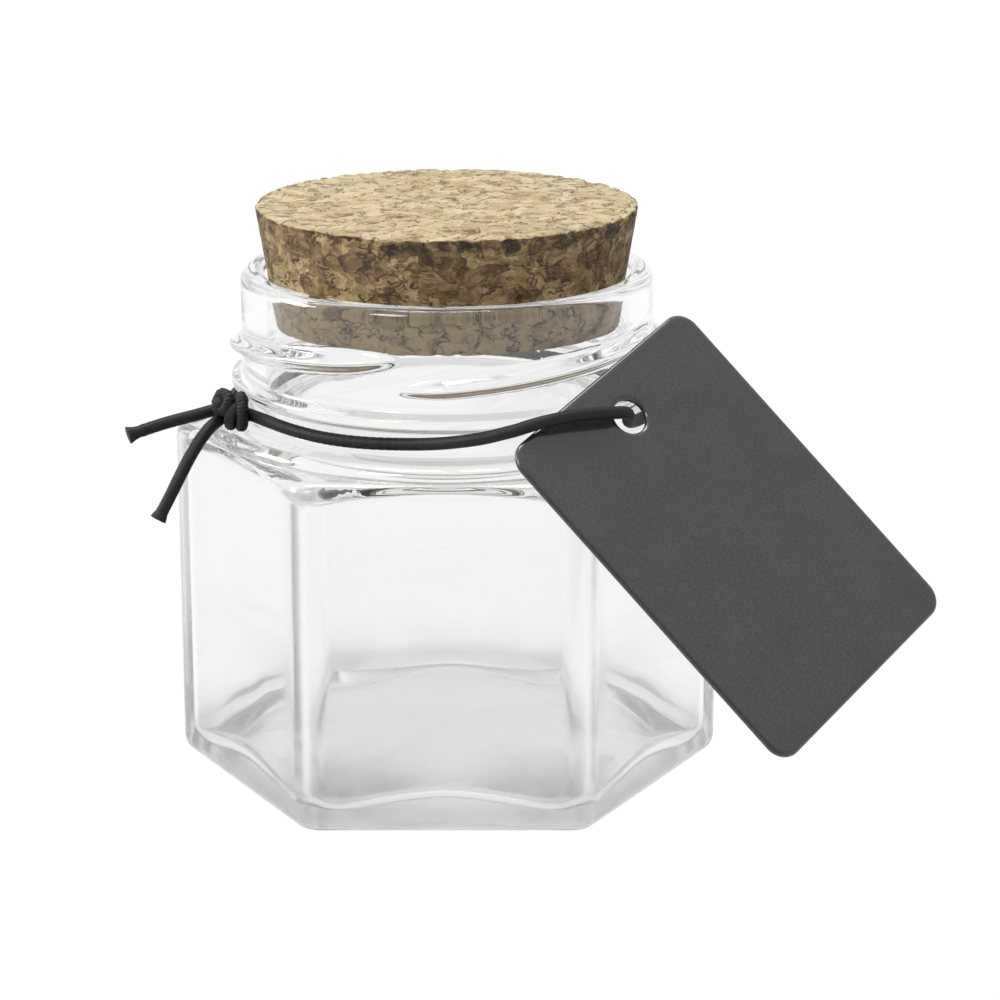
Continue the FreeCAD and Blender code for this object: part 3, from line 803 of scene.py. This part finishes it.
glass = Finish("clear_glass", Transmission_Weight=1.0, IOR=1.5)
glass_height, glass_reach = glass.place.part(2), glass.from_axis()
cloud = glass.noise(CLOUD_SCALE, CLOUD_DETAIL)
in_foot = (glass_height + cloud * FOOT_CLOUD).between(*FOOT_HEIGHTS)
in_rim = (glass_height + cloud * RIM_CLOUD).between(*RIM_HEIGHTS) * glass_reach.between(*RIM_REACH)
at_corner = glass_reach.between(*CORNER_REACH)
glass.on(
    jar,
    Base_Color=(in_foot * FOOT_GREY + in_rim * RIM_GREY).mix(CLEAR, GREY_GLASS),
    Roughness=in_foot * FOOT_HAZE + at_corner * (1 - in_foot) * CORNER_HAZE + POLISHED,
    Normal=glass.bump(glass.noise(RIPPLE_SCALE, RIPPLE_DETAIL), RIPPLE_STRENGTH, RIPPLE_DEPTH),
)

# %% [markdown]
# Pressed cork is a heap of flakes. Each flake has its own tone, from straw to brown, and dark gaps lie
# between them. Cells of a Voronoi texture give the flakes, and moving their places with noise makes them
# irregular. The side is painted darker than the top, as painted shade for light that falls from above, and
# a value stored on the mesh tells the top from the side.

# %% Flakes of cork
CUT_SLOPES = (0.5, 0.9)
FLATTEN, SHIFT_DETAIL = (1.0, 1.0, 1.5), 2.0
COARSE_SCALE, COARSE_SHIFT = 320.0, (4.5 * MM, 4.5 * MM, 3.5 * MM)
FINE_SCALE, FINE_SHIFT = 1500.0, (1.2 * MM, 1.2 * MM, 1.2 * MM)
FLAKE_SCALE, FLAKE_SHARE = 420.0, 0.22
STREAK_SCALE, STREAK_DETAIL, STREAK_ROUGHNESS, STREAK_TWIST = 560.0, 8.0, 0.68, 0.9
STREAK_SHARE, TONE_DROP = 0.9, 0.06

top_face = cork.data.attributes.new("cut_face", "FLOAT", "POINT")
facing_up = np.repeat(soft_step(way_out[:, 1], *CUT_SLOPES), CORK_COLUMNS)
top_face.data.foreach_set("value", np.concatenate([facing_up, [0, 1]]).astype(np.float32))

bark = Finish("pressed_cork", Roughness=0.85)
cut = bark.node("Attribute", {"attribute_name": "cut_face"}, {}, outlet=2)


def shifted(place, scale, reach):
    """A place moved by coloured noise times a reach, so that straight cells become ragged flakes."""
    colour = bark.node("TexNoise", {}, {"Vector": place, "Scale": scale, "Detail": SHIFT_DETAIL}, outlet=1)
    return bark.node("VectorMath", {"operation": "MULTIPLY_ADD"}, {0: colour, 1: reach, 2: place})


bent = shifted(shifted(bark.stretched(FLATTEN), COARSE_SCALE, COARSE_SHIFT), FINE_SCALE, FINE_SHIFT)
flake = bark.node("TexVoronoi", {}, {"Vector": bent, "Scale": FLAKE_SCALE}, outlet=1)
flake_tone = bark.node("SeparateColor", {}, {"Color": flake})
streak = bark.noise(
    STREAK_SCALE, STREAK_DETAIL, place=bent, Roughness=STREAK_ROUGHNESS, Distortion=STREAK_TWIST)
tone = flake_tone * FLAKE_SHARE + streak * STREAK_SHARE - TONE_DROP
print(f"{facing_up.mean():.2f} of the cork's points lie on the cut top")

# %% [markdown]
# The gaps are the edges of such cells, broken up by noise, because flakes that are pressed hard leave no gap.
# On the side, the part in the neck is painted paler than the part above it, as painted light for the cork
# seen through the glass. Patches just below the upper edge are painted darker, as painted shade.

# %% Gaps and tones of cork
# cells in a metre, width of a gap, scale of the noise that breaks it up, and level where a gap begins
WIDE_GAPS, FINE_GAPS = (420.0, 0.08, 700.0, 0.48), (900.0, 0.1, 600.0, 0.52)
GAP_DETAIL, GAP_FADE = 3.0, 0.1
GAP_COLOUR, GAP_SIDE, GAP_PALER = (0.045, 0.024, 0.01, 1), 0.95, 0.25
SIDE_CONTRAST, SIDE_LIFT = 0.78, 0.11
NECK_HEIGHTS, NECK_PAINTED_LIGHT = (53 * MM, 58 * MM), 0.2
PATCH_SCALE, PATCH_DETAIL, PATCH_LEVELS, PATCH_DROP = 160.0, 2.0, (0.5, 0.75), 0.07
EDGE_SHADE_HEIGHTS, EDGE_SHADE_SCALE, EDGE_SHADE_LEVELS, EDGE_SHADE_DROP = (60.8 * MM, 62.6 * MM), 350.0, (0.45, 0.6), 0.12
# The side's colours are a darker copy of the top's: painted shade for light that falls from above.
SIDE_SHADE_STOPS = [
    (0.32, (0.02, 0.01, 0.004)), (0.42, (0.105, 0.064, 0.023)),
    (0.53, (0.22, 0.15, 0.062)), (0.68, (0.46, 0.33, 0.165)),
]
TOP_LIGHT_STOPS = [
    (0.28, (0.16, 0.1, 0.04)), (0.4, (0.285, 0.217, 0.115)),
    (0.52, (0.365, 0.296, 0.17)), (0.75, (0.45, 0.38, 0.238)),
]
GAP_DEPTH, FLAKE_STRENGTH, FLAKE_DEPTH = 0.8, 0.8, 0.3 * MM


def cracks(scale, width, mask_scale, level):
    """1 less the distance to a cell's edge over the gap's width, where noise is above a level."""
    gap = bark.node("TexVoronoi", {"feature": "DISTANCE_TO_EDGE"}, {"Vector": bent, "Scale": scale})
    broken = bark.noise(mask_scale, GAP_DETAIL).between(level, level + GAP_FADE)
    return (1 - gap.between(0.0, width)) * broken


crack = bark.math("MAXIMUM", cracks(*WIDE_GAPS), cracks(*FINE_GAPS))
cork_height = bark.place.part(2)
# Below the rim the side is painted paler: painted light for the cork seen through the glass.
out_of_neck = cork_height.between(*NECK_HEIGHTS)
patch = bark.noise(PATCH_SCALE, PATCH_DETAIL).between(*PATCH_LEVELS)
# Patches just below the upper edge are painted darker: painted shade.
edge_shade = cork_height.between(*EDGE_SHADE_HEIGHTS) * bark.noise(EDGE_SHADE_SCALE, PATCH_DETAIL).between(*EDGE_SHADE_LEVELS)
side_lit_and_shaded_tone = tone * SIDE_CONTRAST + SIDE_LIFT + (1 - out_of_neck) * NECK_PAINTED_LIGHT
side_lit_and_shaded_tone = side_lit_and_shaded_tone - patch * PATCH_DROP - edge_shade * EDGE_SHADE_DROP
# The top takes the lighter colours and the side the darker ones: the top is painted light, the side painted
# shade.
flakes = cut.mix(side_lit_and_shaded_tone.ramp(*SIDE_SHADE_STOPS), tone.ramp(*TOP_LIGHT_STOPS))
bark.on(
    cork,
    Base_Color=(crack * (GAP_SIDE - cut * GAP_PALER)).mix(flakes, GAP_COLOUR),
    Normal=bark.bump(streak - crack * GAP_DEPTH, FLAKE_STRENGTH, FLAKE_DEPTH),
)

# %% [markdown]
# The tag's card is a dark charcoal with a clear coat. A flat colour would look like plastic, so under the
# coat the colour is slightly speckled, and the surface has a very fine tooth.

# %% Charcoal card
SPECKLE_SCALE, SPECKLE_DETAIL, SPECKLE_SHARE = 3500.0, 4.0, 0.75
DRIFT_SCALE, DRIFT_DETAIL, DRIFT_SHARE = 150.0, 2.0, 0.25
CARD_STOPS = [(0.3, (0.006, 0.0061, 0.0064)), (0.7, (0.028, 0.0283, 0.029))]
CARD_ROUGHNESS, SPECKLE_ROUGHNESS = 0.33, 0.2
TOOTH_STRENGTH, TOOTH_DEPTH = 0.12, 0.05 * MM

card = Finish("charcoal_card", Coat_Weight=1.0, Coat_Roughness=0.1, Specular_IOR_Level=0.3)
speckle = card.noise(SPECKLE_SCALE, SPECKLE_DETAIL)
card_tone = speckle * SPECKLE_SHARE + card.noise(DRIFT_SCALE, DRIFT_DETAIL) * DRIFT_SHARE
card.on(
    tag,
    Base_Color=card_tone.ramp(*CARD_STOPS),
    Roughness=speckle * SPECKLE_ROUGHNESS + CARD_ROUGHNESS,
    Normal=card.bump(speckle, TOOTH_STRENGTH, TOOTH_DEPTH),
)

# %% [markdown]
# The cord is black with a low wax sheen. Where it is handled the wax wears, so the colour and the gloss drift
# slowly along it, and fine fibres break up the braid. The knot is the same cord, so it shares the finish.

# %% Waxed cord
FIBRE_SCALE, FIBRE_DETAIL, FIBRE_SHARE = 9000.0, 3.0, 0.6
WORN_SCALE, WORN_DETAIL, WORN_SHARE = 500.0, 2.0, 0.4
CORD_STOPS = [(0.3, (0.004, 0.004, 0.004)), (0.7, (0.014, 0.014, 0.014))]
WAX_ROUGHNESS, WORN_ROUGHNESS = 0.4, 0.3
FIBRE_STRENGTH, FIBRE_DEPTH = 0.35, 0.06 * MM

wax = Finish("black_cord", Specular_IOR_Level=0.25)
fibre = wax.noise(FIBRE_SCALE, FIBRE_DETAIL)
worn = wax.noise(WORN_SCALE, WORN_DETAIL)
wax.on(
    cord,
    Base_Color=(fibre * FIBRE_SHARE + worn * WORN_SHARE).ramp(*CORD_STOPS),
    Roughness=worn * WORN_ROUGHNESS + WAX_ROUGHNESS,
    Normal=wax.bump(fibre, FIBRE_STRENGTH, FIBRE_DEPTH),
)
wax.on(knot)

# %% [markdown]
# ## What moves with what
#
# The jar, the cork and the tag each ride on their own body, and the knot rides on the cord's body. Where the
# cord lies on the tag it would have to follow the tag's swing, but here the cord rides on no body: its place
# is baked into its mesh.

for piece, body, slot, nodes in (
    (jar, "jar", "clear_glass", ["glass_jar"]),
    (cork, "cork", "cork", ["cork_stopper"]),
    (tag, "tag", "charcoal_card", ["swing_tag"]),
    (knot, "cord", "black_cord", ["cord_knot"]),
):
    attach(piece, body)
    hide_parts(*nodes)
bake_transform(cord)
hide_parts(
    "neck_cord_front", "cord_tag_strand", "neck_cord_back", "cord_tail_upper", "cord_tail_lower")
print(f"cord declared {cord_along[-1] / MM:.0f} mm long, with its knot")

# %% [markdown]
# ## Studio
#
# The jar stands on a white table in soft light from all sides. Glass in an even white room would vanish, so
# the room is darker on the side of the camera and, less so, at both sides: those dark parts, seen in the
# edges of the glass, draw its shape.

# %% Floor and room
FLOOR_SIZE, FLOOR_DROP, PAINTED_SHADOW_REACH = 30.0, 0.2 * MM, (20.0 * MM, 26.5 * MM)
WHITE, SHADOW_GREY, DIM = (1.0, 1.0, 1.0), (0.87, 0.87, 0.87), (0.4, 0.4, 0.4)
FLOOR_CORNERS = ((-1, -1), (1, -1), (1, 1), (-1, 1))
IN_FRONT, BESIDE, OVERHEAD, BESIDE_SHARE = (-0.3, -0.9), (0.35, 0.8), (0.45, 0.85), 0.4

floor_mesh = bpy.data.meshes.new("floor")
floor_mesh.from_pydata(
    [(x * FLOOR_SIZE, y * FLOOR_SIZE, -FLOOR_DROP) for x, y in FLOOR_CORNERS], [], [(0, 1, 2, 3)])
floor = bpy.data.objects.new("floor", floor_mesh)
bpy.context.scene.collection.objects.link(floor)
table = Finish("light_table", Base_Color=(0, 0, 0, 1), Specular_IOR_Level=0.0, Emission_Strength=1.03)
# The table's glow is painted darker under the jar, from the inner to the outer reach: a painted contact
# shadow, not one cast by a lamp.
table.on(floor, Emission_Color=table.from_axis().between(*PAINTED_SHADOW_REACH).mix((*SHADOW_GREY, 1), (*WHITE, 1)))

world = bpy.data.worlds.new("room")
world.use_nodes = True
bpy.context.scene.world = world
room = Wire(world.node_tree)
way = room.node("TexCoord", {}, {}, outlet=0)
beside = room.math("ABSOLUTE", way.part(0)).between(*BESIDE) * BESIDE_SHARE
darker = room.math("MAXIMUM", way.part(1).between(*IN_FRONT), beside) * (1 - way.part(2).between(*OVERHEAD))
shade = darker.ramp((0.0, WHITE), (1.0, DIM))
room.tree.links.new(shade.socket, room.tree.nodes["Background"].inputs["Color"])
print("floor and room are in place")

# %% [markdown]
# Three soft lamps shape the cork, the cord and the tag, and glint on the glass. Seen through the glass they
# drew a hard white line along the floor of the jar, so they are hidden from rays that pass through it.
# Light that has entered the wall is thrown back inside it many times, so more bounces are allowed than by
# default.

# %% Lamps and light paths
BOUNCES, GLOSSY_BOUNCES = 24, 16
# place and size in metres, power in watts
LAMPS = {
    "overhead": ((-0.05, 0.15, 0.8), 0.35, 4.0),
    "left": ((-0.7, 0.05, 0.35), 0.3, 4.0),
    "front_left": ((-0.4, -0.54, 0.6), 0.25, 3.0),
}


def soft_lamp(name, place, size, power):
    """A square lamp that looks at the jar, turned by the angles of the line from its place to the origin."""
    lamp = bpy.data.objects.new(name, bpy.data.lights.new(name, "AREA"))
    lamp.data.size, lamp.data.energy = size, power
    lamp.location = place
    lamp.visible_transmission = False
    towards = -np.array(place)
    tilt = math.atan2(math.hypot(*towards[:2]), -towards[2])
    lamp.rotation_euler = (tilt, 0, math.atan2(towards[1], towards[0]) - math.pi / 2)
    bpy.context.scene.collection.objects.link(lamp)


for name, (place, size, power) in LAMPS.items():
    soft_lamp(name, place, size, power)
bpy.context.scene.view_settings.view_transform = "Standard"
light_paths = bpy.context.scene.cycles
light_paths.max_bounces = light_paths.transmission_bounces = BOUNCES
light_paths.glossy_bounces = GLOSSY_BOUNCES
print(len(LAMPS), "lamps are in place")
